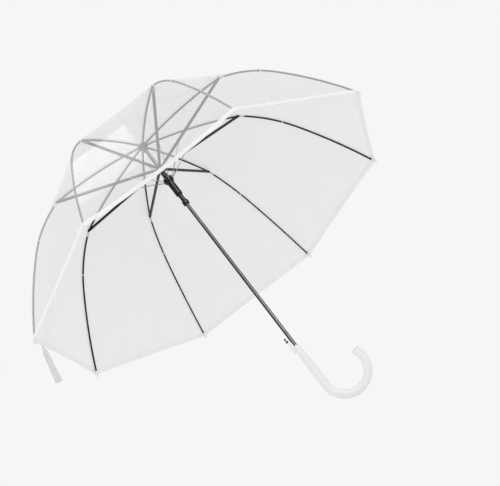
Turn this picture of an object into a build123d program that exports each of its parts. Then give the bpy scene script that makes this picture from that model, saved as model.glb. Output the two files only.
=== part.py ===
from build123d import *
import math
import os

os.makedirs("parts", exist_ok=True)

# Clear dome umbrella, millimetres. +Z runs up the shaft to the ferrule, the hook of the
# handle opens toward +X, and the origin is on the shaft axis in the middle of the grip.

# Frame of ribs
RIB_COUNT = 8
FIRST_RIB_ANGLE = -22.5
RIM_RADIUS = 436.0        # shaft axis to the rib tips
RIM_Z = 332.0             # plane of the rib tips
HUB_HEIGHT = 307.0        # rib pivots above the rim plane
PIVOT_RADIUS = 9.0        # rib pivots on the notch, stretcher pivots on the runner
JOINT_RADIUS = 238.5      # where a stretcher meets its rib
JOINT_DROP = 36.0         # rib pivot down to that joint; the stretcher drops the same again
BEND_RADIUS = 340.0       # where the lower rib starts to run straight
BEND_HEIGHT = 175.0
UPPER_BOW, LOWER_BOW, END_BOW = 7.0, 8.0, 4.6

RIB_WIDTH, RIB_HEIGHT = 2.6, 3.0
RIB_WEB, RIB_WALL = 0.7, 0.6
RIB_EYE_R, TONGUE_HALF, FORK_HALF = 1.9, 0.6, 0.7
PIN_R, PIN_HOLE_R = 0.8, 0.9
FLEX_EYE_R, FLEX_PIN_R, FLEX_HOLE_R = 1.5, 0.45, 0.55
TIP_R, TIP_BEAD_R, TIP_DEPTH, TIP_REACH = 2.4, 2.8, 9.0, 3.0

# Stretchers and wire links
STRETCHER_WIDTH, STRETCHER_HEIGHT, STRETCHER_WALL = 4.8, 4.4, 0.6
STRETCHER_EYE_R = 2.1
WEB_START, WEB_STOP = 10.0, 16.0    # channel floor starts after the runner, stops short of the rib
LINK_AT = 65.0            # along the stretcher from the runner
LINK_R = 0.8
LINK_SIDE = 3.3           # link runs beside the stretcher
LINK_BALL_R = 1.05
LINK_PIVOT_RADIUS = 11.0
LINK_EYE_R = 1.9

# Shaft, runner, slider
SHAFT_R = 4.0
SHAFT_BORE_R = SHAFT_R - 0.7
SLIDE_GAP, FIT_GAP = 0.15, 0.05
RING_R, RING_GAP = 0.6, 0.05
EYE_HOLE_R = 0.8
SLOT_WIDTH = RIB_WIDTH + 0.4        # a rib's or a stretcher's eye with room each side
SLOT_BOTTOM_R = SHAFT_R + 1.7
RUNNER_HEAD_R, RUNNER_TOP, RUNNER_HEAD_DROP = 10.0, 3.6, 7.0
RUNNER_TUBE_R, RUNNER_TUBE_DROP = SHAFT_R + 1.25, 113.0
END_RING_R, END_RING_H = 7.5, 10.0
SLIDER_DROP = 36.6        # link pivots below the stretcher pivots
COLLAR_R, COLLAR_UP, COLLAR_DOWN = 12.0, 4.0, 4.0
SLEEVE_BORE_R = RUNNER_TUBE_R + 1.7
SLEEVE_R, SLEEVE_DROP, SLEEVE_FLOOR = SLEEVE_BORE_R + 1.05, 46.4, 3.4
LINK_SLOT_WIDTH, LINK_SLOT_BOTTOM_R, LINK_SLOT_FLOOR = 2.4, 9.2, 2.6
SPRING_R, SPRING_WIRE_R, SPRING_TURNS = RUNNER_TUBE_R + 0.85, 0.5, 11

# Top notch, cap, ferrule
NOTCH_R, NOTCH_UP, NOTCH_DOWN = 10.6, 2.2, 6.0
CAP_R, CAP_T = 13.0, 1.6
FERRULE_TOP = 383.0       # above the rim plane
FERRULE_R, FERRULE_BASE_R, FERRULE_BASE_H = 7.1, 8.4, 12.0

# Canopy film
FILM_T = 0.2
FILM_LIFT = 2.9           # film's inner face above the rib's centreline
FILM_HOLE_R = SHAFT_R + 0.6

# Handle
HANDLE_TOP = 50.0
HANDLE_BOTTOM = -105.0
HANDLE_R, HANDLE_NECK_R, HANDLE_TOP_R = 9.0, 8.2, 6.2
HOOK_R = 46.0             # centreline radius of the hook
HOOK_LEAN = 10.0          # the free end leans back this many degrees past the half turn
HOOK_TAIL = 14.5
SHAFT_DEPTH = 36.0        # shaft inside the handle

# Release lever and catch
LEVER_X = -9.8
LEVER_T, LEVER_W, LEVER_PIN_R = 1.6, 4.0, 1.0
LEVER_TOP, LEVER_PIVOT_Z, LEVER_FOOT = 71.5, 57.5, 47.5
BRACKET_TOP, BRACKET_FOOT, BRACKET_W, BRACKET_X = 60.8, 40.0, 8.0, -11.6
CATCH_LOW, CATCH_HIGH, CATCH_REACH, CATCH_W = 65.5, 69.0, 6.7, 2.0

# Closing strap
STRAP_W, STRAP_T, STRAP_L = 15.0, 0.8, 88.0
STRAP_OFFSET = 41.0       # along the rim from rib 6 toward rib 5
STRAP_DIRECTION = (-0.20, 0.40, -0.893)

HUB_Z = RIM_Z + HUB_HEIGHT
JOINT_Z = HUB_Z - JOINT_DROP
RUNNER_Z = JOINT_Z - JOINT_DROP
SLIDER_Z = RUNNER_Z - SLIDER_DROP
BEND_Z = RIM_Z + BEND_HEIGHT
FILM_TOP_Z = HUB_Z + NOTCH_UP + 0.3
CAP_Z = FILM_TOP_Z + FILM_T + 0.25
HOOK_Z = HANDLE_BOTTOM + HANDLE_R + HOOK_R


class Bow:
    """A circular arc in a rib's own plane, bowed outward, measured along its length."""

    def __init__(self, start, end, bow):
        run, rise = end[0] - start[0], end[1] - start[1]
        chord = math.hypot(run, rise)
        self.radius = chord * chord / (8 * bow) + bow / 2
        out = (-rise / chord, run / chord)
        self.centre = tuple(
            (start[k] + end[k]) / 2 - out[k] * (self.radius - bow) for k in (0, 1)
        )
        self.first = math.atan2(start[1] - self.centre[1], start[0] - self.centre[0])
        self.length = 2 * self.radius * math.asin(chord / 2 / self.radius)

    def point(self, along, lift=0.0):
        angle = self.first - along / self.radius
        reach = self.radius + lift
        return (
            self.centre[0] + reach * math.cos(angle),
            self.centre[1] + reach * math.sin(angle),
        )

    def direction(self, along):
        angle = self.first - along / self.radius
        return (math.sin(angle), -math.cos(angle))


UPPER = Bow((PIVOT_RADIUS, HUB_Z), (JOINT_RADIUS, JOINT_Z), UPPER_BOW)
LOWER = Bow((JOINT_RADIUS, JOINT_Z), (BEND_RADIUS, BEND_Z), LOWER_BOW)
END = Bow((BEND_RADIUS, BEND_Z), (RIM_RADIUS, RIM_Z), END_BOW)


def rib_angle(number):
    return FIRST_RIB_ANGLE + 360.0 / RIB_COUNT * (number - 1)


def band(bow, start, stop, low, high, half, mode=Mode.ADD):
    """A strip along a bow, as wide as twice half across the rib's plane."""
    middle = (start + stop) / 2
    with BuildSketch(Plane.XZ) as sketch:
        with BuildLine():
            ThreePointArc(bow.point(start, high), bow.point(middle, high), bow.point(stop, high))
            Line(bow.point(stop, high), bow.point(stop, low))
            ThreePointArc(bow.point(stop, low), bow.point(middle, low), bow.point(start, low))
            Line(bow.point(start, low), bow.point(start, high))
        make_face()
    extrude(sketch.sketch, amount=half, both=True, mode=mode)


def disc(at, radius, half, mode=Mode.ADD):
    """A round boss or hole across the rib's plane."""
    with BuildSketch(Plane.XZ) as sketch:
        with Locations(at):
            Circle(radius)
    extrude(sketch.sketch, amount=half, both=True, mode=mode)


def channel(bow, start, stop):
    """The open underside of a pressed rib."""
    half = RIB_WIDTH / 2 - RIB_WALL
    low = -RIB_HEIGHT / 2 - 1
    band(bow, start, stop, low, RIB_HEIGHT / 2 - RIB_WEB, half, Mode.SUBTRACT)


def tongue_end(bow, eye_r, hole_r):
    """The thin eye that a rib length carries at its far end."""
    end = bow.point(bow.length)
    band(bow, bow.length - eye_r - 3, bow.length, -RIB_HEIGHT / 2, RIB_HEIGHT / 2, TONGUE_HALF)
    disc(end, eye_r, TONGUE_HALF)
    disc(end, hole_r, RIB_WIDTH, Mode.SUBTRACT)


def fork_start(bow, eye_r):
    """The two ears that hold the tongue of the rib length before this one."""
    start = bow.point(0)
    disc(start, eye_r, RIB_WIDTH / 2)
    disc(start, eye_r + 0.6, FORK_HALF, Mode.SUBTRACT)


def make_rib_upper():
    half_h = RIB_HEIGHT / 2
    with BuildPart() as part:
        band(UPPER, 0, UPPER.length - RIB_EYE_R - 1.2, -half_h, half_h, RIB_WIDTH / 2)
        disc(UPPER.point(0), RIB_EYE_R, RIB_WIDTH / 2)
        channel(UPPER, 8, UPPER.length - 8)
        tongue_end(UPPER, RIB_EYE_R, PIN_HOLE_R)
        disc(UPPER.point(0), EYE_HOLE_R, RIB_WIDTH, Mode.SUBTRACT)
    return part.part


def make_rib_lower():
    half_h = RIB_HEIGHT / 2
    with BuildPart() as part:
        band(LOWER, 0, LOWER.length - FLEX_EYE_R - 0.8, -half_h, half_h, RIB_WIDTH / 2)
        fork_start(LOWER, RIB_EYE_R)
        channel(LOWER, 8, LOWER.length - 8)
        tongue_end(LOWER, FLEX_EYE_R, FLEX_HOLE_R)
        disc(LOWER.point(0), PIN_HOLE_R, RIB_WIDTH, Mode.SUBTRACT)
    return part.part


def make_rib_end():
    half_h = RIB_HEIGHT / 2
    with BuildPart() as part:
        band(END, 0, END.length, -half_h, half_h, RIB_WIDTH / 2)
        fork_start(END, FLEX_EYE_R)
        channel(END, 8, END.length - 14)
        disc(END.point(0), FLEX_PIN_R, RIB_WIDTH / 2)
    return part.part


def tip_plane():
    run, rise = END.direction(END.length)
    return Plane(origin=(RIM_RADIUS, 0, RIM_Z), x_dir=(0, 1, 0), z_dir=(run, 0, rise))


def make_rib_tip():
    plane = tip_plane()
    with BuildPart() as part:
        with BuildSketch(plane.offset(-TIP_DEPTH)):
            Circle(TIP_R)
        extrude(amount=TIP_DEPTH + TIP_REACH)
        with Locations(plane.offset(TIP_REACH)):
            Sphere(TIP_BEAD_R)
        with BuildSketch(plane.offset(-TIP_DEPTH)):
            Rectangle(RIB_WIDTH + 2 * FIT_GAP, RIB_HEIGHT + 4 * FIT_GAP)
        extrude(amount=TIP_DEPTH + FIT_GAP, mode=Mode.SUBTRACT)
    return part.part


STRETCHER_LENGTH = math.hypot(JOINT_RADIUS - PIVOT_RADIUS, JOINT_DROP)
STRETCHER_RUN = ((JOINT_RADIUS - PIVOT_RADIUS) / STRETCHER_LENGTH, JOINT_DROP / STRETCHER_LENGTH)
STRETCHER_PLANE = Plane(
    origin=(PIVOT_RADIUS, 0, RUNNER_Z),
    x_dir=(STRETCHER_RUN[0], 0, STRETCHER_RUN[1]),
    z_dir=(0, -1, 0),
)


def bar(plane, start, stop, low, high, half, mode=Mode.ADD):
    """A block along the plane's x, as wide as twice half across it."""
    with BuildSketch(plane) as sketch:
        with Locations(((start + stop) / 2, (low + high) / 2)):
            Rectangle(stop - start, high - low)
    extrude(sketch.sketch, amount=half, both=True, mode=mode)


def boss(plane, at, radius, half, mode=Mode.ADD):
    """A round boss or hole across any plane."""
    with BuildSketch(plane) as sketch:
        with Locations(at):
            Circle(radius)
    extrude(sketch.sketch, amount=half, both=True, mode=mode)


def make_stretcher():
    """A pressed channel, open upward: an eye at the runner and two ears at the rib."""
    plane = STRETCHER_PLANE
    length = STRETCHER_LENGTH
    half_w, half_h = STRETCHER_WIDTH / 2, STRETCHER_HEIGHT / 2
    inside = half_w - STRETCHER_WALL
    with BuildPart() as part:
        bar(plane, WEB_START - 2, length, -half_h, half_h, half_w)
        boss(plane, (length, 0), half_h, half_w)
        bar(plane, WEB_START, length + 4, STRETCHER_WALL - half_h, half_h + 1, inside, Mode.SUBTRACT)
        bar(plane, length - WEB_STOP, length + 4, -half_h - 1, half_h + 1, inside, Mode.SUBTRACT)
        bar(plane, 0, WEB_START, -1.8, 1.8, RIB_WIDTH / 2)
        boss(plane, (0, 0), STRETCHER_EYE_R, RIB_WIDTH / 2)
        boss(plane, (0, 0), EYE_HOLE_R, half_w, Mode.SUBTRACT)
        boss(plane, (length, 0), PIN_R, half_w)
        with BuildSketch(plane.offset(-half_w)):
            with Locations((LINK_AT, 0)):
                Circle(PIN_R)
        extrude(amount=-2.0)
        with BuildSketch(plane.offset(-half_w - 1.7)):
            with Locations((LINK_AT, 0)):
                Circle(1.4)
        extrude(amount=-0.5)
    return part.part


LINK_TOP = (
    PIVOT_RADIUS + LINK_AT * STRETCHER_RUN[0],
    RUNNER_Z + LINK_AT * STRETCHER_RUN[1],
)
LINK_FOOT = (LINK_PIVOT_RADIUS, SLIDER_Z)
LINK_LENGTH = math.dist(LINK_TOP, LINK_FOOT)


def link_point(along, side):
    """A point in space along the link, at one side of the rib's plane."""
    share = along / LINK_LENGTH
    run = LINK_TOP[0] + (LINK_FOOT[0] - LINK_TOP[0]) * share
    height = LINK_TOP[1] + (LINK_FOOT[1] - LINK_TOP[1]) * share
    return (run, side, height)


def make_link():
    """A bent wire: an eye on the stretcher's side pin, a jog, and a ball in the slider's slot."""
    first = link_point(0, LINK_SIDE)
    along = tuple(b - a for a, b in zip(first, link_point(LINK_LENGTH, LINK_SIDE)))
    eye_plane = Plane(origin=(LINK_TOP[0], LINK_SIDE, LINK_TOP[1]), x_dir=(1, 0, 0), z_dir=(0, 1, 0))
    with BuildPart() as part:
        with BuildLine():
            FilletPolyline(
                first,
                link_point(64.0, LINK_SIDE),
                link_point(73.0, 0),
                link_point(LINK_LENGTH, 0),
                radius=2.5,
            )
        with BuildSketch(Plane(origin=first, z_dir=along)):
            Circle(LINK_R)
        sweep()
        with Locations(link_point(LINK_LENGTH, 0)):
            Sphere(LINK_BALL_R)
        with BuildSketch(eye_plane.offset(-0.7)):
            Circle(LINK_EYE_R)
        extrude(amount=1.4)
        with BuildSketch(eye_plane.offset(-1.5)):
            Circle(PIN_HOLE_R)
        extrude(amount=3.0, mode=Mode.SUBTRACT)
    return part.part


def turn(points, mode=Mode.ADD):
    """Revolves an outline of (radius, height) points round the shaft axis."""
    with BuildSketch(Plane.XZ) as sketch:
        with BuildLine():
            Polyline(*points, close=True)
        make_face()
    revolve(sketch.sketch, axis=Axis.Z, mode=mode)


def radial_slots(width, bottom_r, reach, low, high):
    """One slot per rib, open outward."""
    with BuildSketch(Plane.XY.offset(low)) as sketch:
        with PolarLocations((bottom_r + reach) / 2, RIB_COUNT, start_angle=FIRST_RIB_ANGLE):
            Rectangle(reach - bottom_r, width)
    extrude(sketch.sketch, amount=high - low, mode=Mode.SUBTRACT)


def pivot_ring(height):
    """The wire ring that a set of eyes turns on."""
    with BuildPart() as ring:
        with Locations((0, 0, height)):
            Torus(PIVOT_RADIUS, RING_R)
    return ring.part


def ring_groove(height):
    with Locations((0, 0, height)):
        Torus(PIVOT_RADIUS, RING_R + RING_GAP, mode=Mode.SUBTRACT)


def make_top_notch():
    bore = SHAFT_R + FIT_GAP
    low, high = HUB_Z - NOTCH_DOWN, HUB_Z + NOTCH_UP
    with BuildPart() as part:
        turn([(bore, low), (NOTCH_R - 1.5, low), (NOTCH_R, low + 1.5), (NOTCH_R, high), (bore, high)])
        radial_slots(SLOT_WIDTH, SLOT_BOTTOM_R, NOTCH_R + 2, low - 1, high + 1)
        turn([(bore, low - 7), (6.6, low - 7), (6.6, low + 0.5), (bore, low + 0.5)])
        ring_groove(HUB_Z)
    return Compound(children=[part.part, pivot_ring(HUB_Z)])


def make_runner():
    bore = SHAFT_R + SLIDE_GAP
    top, head_low = RUNNER_Z + RUNNER_TOP, RUNNER_Z - RUNNER_HEAD_DROP
    foot = RUNNER_Z - RUNNER_TUBE_DROP
    ring_top = foot + END_RING_H
    slot_x = -(CATCH_REACH - 0.4 + END_RING_R + 1) / 2
    with BuildPart() as part:
        turn(
            [
                (bore, top + 3),
                (5.4, top + 3),
                (5.6, top),
                (RUNNER_HEAD_R - 0.6, top),
                (RUNNER_HEAD_R, top - 0.6),
                (RUNNER_HEAD_R, head_low + 1.2),
                (RUNNER_HEAD_R - 1.2, head_low),
                (RUNNER_TUBE_R, head_low),
                (RUNNER_TUBE_R, ring_top + 1.0),
                (END_RING_R - 0.6, ring_top),
                (END_RING_R, ring_top - 0.6),
                (END_RING_R, foot + 0.8),
                (END_RING_R - 0.8, foot),
                (bore, foot),
            ]
        )
        radial_slots(SLOT_WIDTH, SLOT_BOTTOM_R, RUNNER_HEAD_R + 2, RUNNER_Z - 2.6, top + 0.5)
        ring_groove(RUNNER_Z)
        with BuildSketch(Plane.XY.offset(foot - 1)):
            with Locations((slot_x, 0)):
                Rectangle(END_RING_R + 1 - CATCH_REACH + 0.4, CATCH_W + 0.8)
        extrude(amount=END_RING_H + 3, mode=Mode.SUBTRACT)
    return Compound(children=[part.part, pivot_ring(RUNNER_Z)])


def make_slider():
    top, low = SLIDER_Z + COLLAR_UP, SLIDER_Z - SLEEVE_DROP
    shoulder = SLIDER_Z - COLLAR_DOWN
    tube_bore = RUNNER_TUBE_R + SLIDE_GAP
    with BuildPart() as part:
        turn(
            [
                (SLEEVE_BORE_R, top),
                (COLLAR_R - 0.8, top),
                (COLLAR_R, top - 0.8),
                (COLLAR_R, shoulder),
                (COLLAR_R - 1.6, shoulder - 1.0),
                (COLLAR_R - 2.0, shoulder - 3.5),
                (SLEEVE_R, shoulder - 4.2),
                (SLEEVE_R, low + 0.8),
                (SLEEVE_R - 0.8, low),
                (tube_bore, low),
                (tube_bore, low + SLEEVE_FLOOR),
                (SLEEVE_BORE_R, low + SLEEVE_FLOOR),
            ]
        )
        floor = SLIDER_Z - LINK_SLOT_FLOOR
        radial_slots(LINK_SLOT_WIDTH, LINK_SLOT_BOTTOM_R, COLLAR_R + 2, floor, top + 1)
    return part.part


def make_spring():
    low = SLIDER_Z - SLEEVE_DROP + SLEEVE_FLOOR + SPRING_WIRE_R + 0.1
    high = RUNNER_Z - RUNNER_HEAD_DROP - SPRING_WIRE_R - 0.1
    pitch = (high - low) / SPRING_TURNS
    with BuildPart() as part:
        with BuildLine() as coil:
            Helix(pitch=pitch, height=high - low, radius=SPRING_R, center=(0, 0, low))
        start = coil.line @ 0
        with BuildSketch(Plane(origin=start, z_dir=coil.line % 0)):
            Circle(SPRING_WIRE_R)
        sweep(is_frenet=True)
    return part.part


def make_shaft():
    low, high = HANDLE_TOP - SHAFT_DEPTH, RIM_Z + FERRULE_TOP - 9
    with BuildPart() as part:
        turn([(SHAFT_BORE_R, low), (SHAFT_R, low), (SHAFT_R, high), (SHAFT_BORE_R, high)])
    return part.part


def make_crown_cap():
    bore = SHAFT_R + FIT_GAP
    with BuildPart() as part:
        turn([(bore, CAP_Z), (CAP_R, CAP_Z), (CAP_R - 1.2, CAP_Z + CAP_T), (bore, CAP_Z + CAP_T)])
    return part.part


def make_ferrule():
    bore = SHAFT_R + FIT_GAP
    low, high = CAP_Z + CAP_T + 0.1, RIM_Z + FERRULE_TOP
    with BuildPart() as part:
        turn(
            [
                (bore, low),
                (FERRULE_BASE_R, low),
                (FERRULE_BASE_R, low + 3),
                (FERRULE_R, low + FERRULE_BASE_H),
                (FERRULE_R, high - 3.4),
                (FERRULE_R - 0.9, high - 1.3),
                (FERRULE_R - 3.2, high),
                (0, high),
                (0, high - 8.5),
                (bore, high - 8.5),
            ]
        )
    return part.part


def film_stations(lift):
    """(radius, height) of the film at each rib, from the notch out to the rim."""
    found = [(NOTCH_R + 2.0, FILM_TOP_Z + lift - FILM_LIFT)]
    upper, lower, end = (0.15, 0.4, 0.7, 1.0), (0.25, 0.5, 0.75, 1.0), (0.33, 0.67, 1.0)
    for bow, shares in ((UPPER, upper), (LOWER, lower), (END, end)):
        for share in shares:
            found.append(bow.point(bow.length * share, lift))
    return found


def octagon(station):
    with BuildSketch(Plane.XY.offset(station[1])) as sketch:
        RegularPolygon(station[0], RIB_COUNT, rotation=FIRST_RIB_ANGLE)
    return sketch.sketch.face()


def make_canopy():
    """Eight flat-sided film panels welded into one dome, with a hole for the shaft."""
    outer = film_stations(FILM_LIFT + FILM_T)
    inner = film_stations(FILM_LIFT)
    last, before = inner[-1], inner[-2]
    inner[-1] = tuple(last[k] + (last[k] - before[k]) * 0.03 for k in (0, 1))
    with BuildPart() as part:
        for high, low in zip(outer, outer[1:]):
            loft(sections=[octagon(high), octagon(low)], ruled=True)
        for high, low in zip(inner, inner[1:]):
            loft(sections=[octagon(high), octagon(low)], ruled=True, mode=Mode.SUBTRACT)
        with BuildSketch(Plane.XY.offset(FILM_TOP_Z - 5)):
            Circle(FILM_HOLE_R)
        extrude(amount=10, mode=Mode.SUBTRACT)
    return part.part


def make_handle():
    """A tapered neck, a round grip and a hook, with a two-cheeked bracket for the lever."""
    neck, full = HANDLE_TOP - 26, HANDLE_TOP - 62
    lean = math.radians(HOOK_LEAN)
    bore = SHAFT_R + FIT_GAP
    with BuildPart() as part:
        turn(
            [
                (0, full - 1),
                (HANDLE_R, full - 1),
                (HANDLE_R, full),
                (HANDLE_NECK_R, neck),
                (HANDLE_TOP_R + 0.3, HANDLE_TOP - 1),
                (HANDLE_TOP_R - 0.5, HANDLE_TOP),
                (0, HANDLE_TOP),
            ]
        )
        with BuildLine():
            Line((0, 0, full - 0.5), (0, 0, HOOK_Z))
            ThreePointArc(
                (0, 0, HOOK_Z),
                (HOOK_R, 0, HOOK_Z - HOOK_R),
                (HOOK_R + HOOK_R * math.cos(lean), 0, HOOK_Z + HOOK_R * math.sin(lean)),
            )
            Line(hook_end(0), hook_end(HOOK_TAIL))
        with BuildSketch(Plane(origin=(0, 0, full - 0.5), z_dir=(0, 0, -1))):
            Circle(HANDLE_R)
        sweep()
        with BuildSketch(Plane.XY.offset(BRACKET_FOOT)):
            with Locations(((BRACKET_X - 3) / 2, 0)):
                Rectangle(-3 - BRACKET_X, BRACKET_W)
        extrude(amount=BRACKET_TOP - BRACKET_FOOT)
        with BuildSketch(Plane.XY.offset(LEVER_FOOT - 2)):
            with Locations((LEVER_X - 3.2, 0)):
                Rectangle(10.0, LEVER_W + 0.6)
        extrude(amount=BRACKET_TOP, mode=Mode.SUBTRACT)
        boss(Plane.XZ, (LEVER_X, LEVER_PIVOT_Z), LEVER_PIN_R + 0.1, BRACKET_W, Mode.SUBTRACT)
        with BuildSketch(Plane.XY.offset(HANDLE_TOP - SHAFT_DEPTH - 0.2)):
            Circle(bore)
        extrude(amount=BRACKET_TOP, mode=Mode.SUBTRACT)
    return part.part


def hook_end(along):
    """A point on the hook's straight tail, measured from where its bend ends."""
    lean = math.radians(HOOK_LEAN)
    return (
        HOOK_R + HOOK_R * math.cos(lean) - along * math.sin(lean),
        0,
        HOOK_Z + HOOK_R * math.sin(lean) + along * math.cos(lean),
    )


def make_lever():
    """The push lever: a foot to press, a cross pin in the bracket and an arm for the catch."""
    inner, outer = LEVER_X + LEVER_T / 2, LEVER_X - LEVER_T / 2
    with BuildPart() as part:
        with BuildSketch(Plane.XZ):
            with BuildLine():
                Polyline(
                    (inner, LEVER_TOP),
                    (outer, LEVER_TOP),
                    (outer, LEVER_FOOT + 6),
                    (outer - 2.6, LEVER_FOOT + 4),
                    (outer - 2.6, LEVER_FOOT),
                    (inner, LEVER_FOOT),
                    close=True,
                )
            make_face()
        extrude(amount=LEVER_W / 2, both=True)
        boss(Plane.XZ, (LEVER_X, LEVER_PIVOT_Z), LEVER_PIN_R, BRACKET_W / 2)
    return part.part


def make_catch():
    """The metal nose on the lever; it lies in the end ring's notch when the umbrella is shut."""
    inner = LEVER_X + LEVER_T / 2
    with BuildPart() as part:
        with BuildSketch(Plane.XZ):
            with BuildLine():
                Polyline(
                    (inner + FIT_GAP, CATCH_LOW),
                    (inner + FIT_GAP, CATCH_HIGH),
                    (-CATCH_REACH - 0.8, CATCH_HIGH),
                    (-CATCH_REACH, CATCH_HIGH - 1.0),
                    (-CATCH_REACH, CATCH_LOW + 0.6),
                    (-CATCH_REACH - 0.6, CATCH_LOW),
                    close=True,
                )
            make_face()
        extrude(amount=CATCH_W / 2, both=True)
    return part.part


def make_strap():
    """The closing strap, hanging from the hem beside rib 6."""
    half = math.radians(180.0 / RIB_COUNT)
    edge_x = -RIM_RADIUS * math.cos(half)
    start_y = -RIM_RADIUS * math.sin(half) + STRAP_OFFSET
    hang = Vector(*STRAP_DIRECTION).normalized()
    across = (Vector(1, 0, 0) - hang * hang.X).normalized()
    face = hang.cross(across)
    origin = Vector(edge_x, start_y, RIM_Z - 5.0)
    with BuildPart() as part:
        with BuildSketch(Plane(origin=origin, x_dir=across, z_dir=face)) as sketch:
            with Locations((0, -STRAP_L / 2)):
                RectangleRounded(STRAP_W, STRAP_L, 2.0)
        extrude(amount=STRAP_T / 2, both=True)
    return part.part


def save(shape, name):
    shape.label = name
    export_step(shape, f"parts/{name}.step")


def build():
    around = {
        "rib_upper": make_rib_upper(),
        "rib_lower": make_rib_lower(),
        "rib_end": make_rib_end(),
        "rib_tip": make_rib_tip(),
        "stretcher": make_stretcher(),
        "link": make_link(),
    }
    for name, shape in around.items():
        for number in range(1, RIB_COUNT + 1):
            save(Rot(0, 0, rib_angle(number)) * shape, f"{name}_{number}")
    save(make_canopy(), "canopy")
    save(make_shaft(), "shaft")
    save(make_top_notch(), "top_notch")
    save(make_crown_cap(), "crown_cap")
    save(make_ferrule(), "ferrule")
    save(make_runner(), "runner")
    save(make_slider(), "slider")
    save(make_spring(), "opening_spring")
    save(make_handle(), "handle")
    save(make_lever(), "release_lever")
    save(make_catch(), "catch")
    save(make_strap(), "closing_strap")


build()
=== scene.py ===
"""Visual model of a clear dome umbrella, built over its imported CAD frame.

Everything is in metres in the row frame: the origin is on the shaft axis in the middle of
the grip, +Z runs up the shaft to the ferrule and the hook of the handle opens toward +X.
"""

from __future__ import annotations

import logging
import math
from collections.abc import Callable, Iterable, Sequence
from dataclasses import dataclass, field
from enum import Enum

import bmesh
import bpy
from mathutils import Matrix, Vector

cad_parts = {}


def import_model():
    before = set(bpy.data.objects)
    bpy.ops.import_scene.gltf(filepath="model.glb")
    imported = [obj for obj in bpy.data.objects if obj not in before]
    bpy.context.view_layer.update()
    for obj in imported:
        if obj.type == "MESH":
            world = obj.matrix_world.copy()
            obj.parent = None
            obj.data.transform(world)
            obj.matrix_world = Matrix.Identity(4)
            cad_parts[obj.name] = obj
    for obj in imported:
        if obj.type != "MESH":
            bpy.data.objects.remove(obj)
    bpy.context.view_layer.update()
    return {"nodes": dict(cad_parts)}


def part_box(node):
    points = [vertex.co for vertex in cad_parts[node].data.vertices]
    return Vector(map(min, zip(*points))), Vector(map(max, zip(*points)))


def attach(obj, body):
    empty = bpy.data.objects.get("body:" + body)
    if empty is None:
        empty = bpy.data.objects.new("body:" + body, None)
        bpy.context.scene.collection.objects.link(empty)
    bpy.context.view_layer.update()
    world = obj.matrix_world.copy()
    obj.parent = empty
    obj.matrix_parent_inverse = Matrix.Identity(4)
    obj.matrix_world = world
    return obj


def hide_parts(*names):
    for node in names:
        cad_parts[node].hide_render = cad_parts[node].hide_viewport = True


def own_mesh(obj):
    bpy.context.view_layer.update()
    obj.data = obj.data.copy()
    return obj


LOG = logging.getLogger("umbrella")

RIB_COUNT = 8
FIRST_RIB = math.radians(-22.5)
RIB_STEP = math.tau / RIB_COUNT


class Slot(Enum):
    """The record's material slots."""

    FILM = "film"
    BLACK_STEEL = "black_steel"
    DARK_TUBE = "dark_tube"
    WIRE = "wire"
    BLACK_PLASTIC = "black_plastic"
    WHITE_PLASTIC = "white_plastic"
    STRAP_FILM = "strap_film"


class Section(Enum):
    """The three lengths of a rib, which bend against each other as the umbrella closes."""

    UPPER = "upper"
    LOWER = "lower"
    END = "end"


# ---------------------------------------------------------------------------- finishes

GRAIN_SPAN = (0.3, 0.7)      # the part of the noise that colour and gloss run over
GRAIN_DETAIL = 4.0
RELIEF_STRENGTH = 0.6
MADE: dict[str, bpy.types.Material] = {}


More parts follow.
